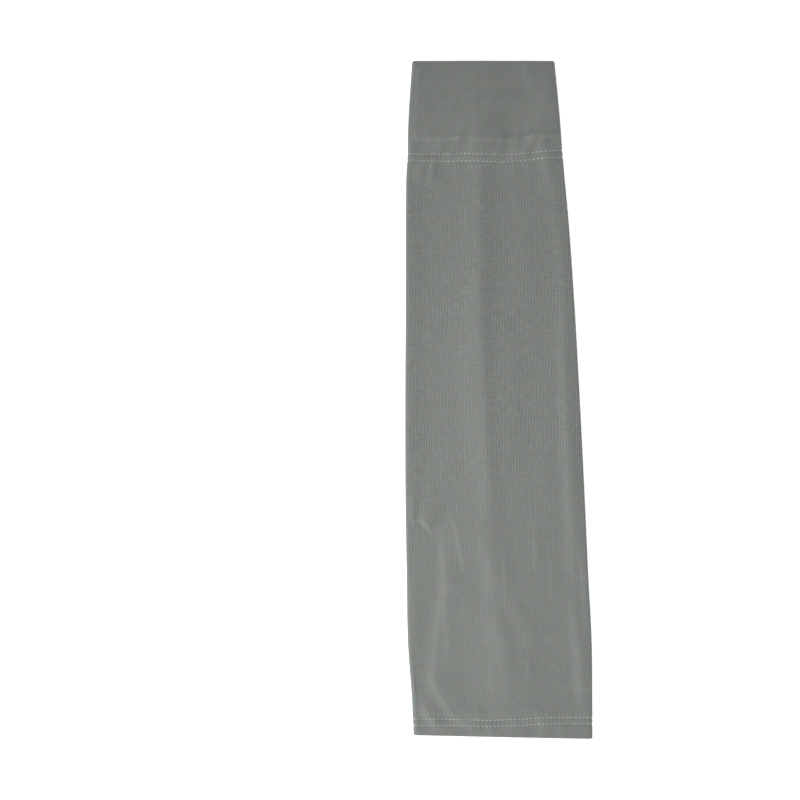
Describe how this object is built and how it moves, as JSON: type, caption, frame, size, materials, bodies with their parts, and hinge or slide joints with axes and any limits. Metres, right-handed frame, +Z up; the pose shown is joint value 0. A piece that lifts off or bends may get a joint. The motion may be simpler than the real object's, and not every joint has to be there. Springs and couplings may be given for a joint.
{
  "type": "arm sleeve",
  "caption": "Tapered knitted arm sleeve lying relaxed and flat, open at both ends, with a deep doubled wrist cuff and a narrow stitched hem at the arm end.",
  "frame": {"origin": "on the surface that the sleeve lies on, under the middle of its outline", "axes": "+X across the sleeve, +Y along it from the arm end towards the wrist cuff, +Z up from the surface"},
  "size_m": [0.1107, 0.4011, 0.0098],
  "materials": {
    "knit": "fine grey stretch knit with faint lengthwise wales and a low sheen",
    "doubled_knit": "the same grey knit, turned double and a shade darker",
    "thread": "pale grey sewing thread"
  },
  "bodies": {
    "root": {"sleeve_body": "knit", "wrist_cuff": "doubled_knit", "arm_hem": "doubled_knit"}
  },
  "joints": []
}
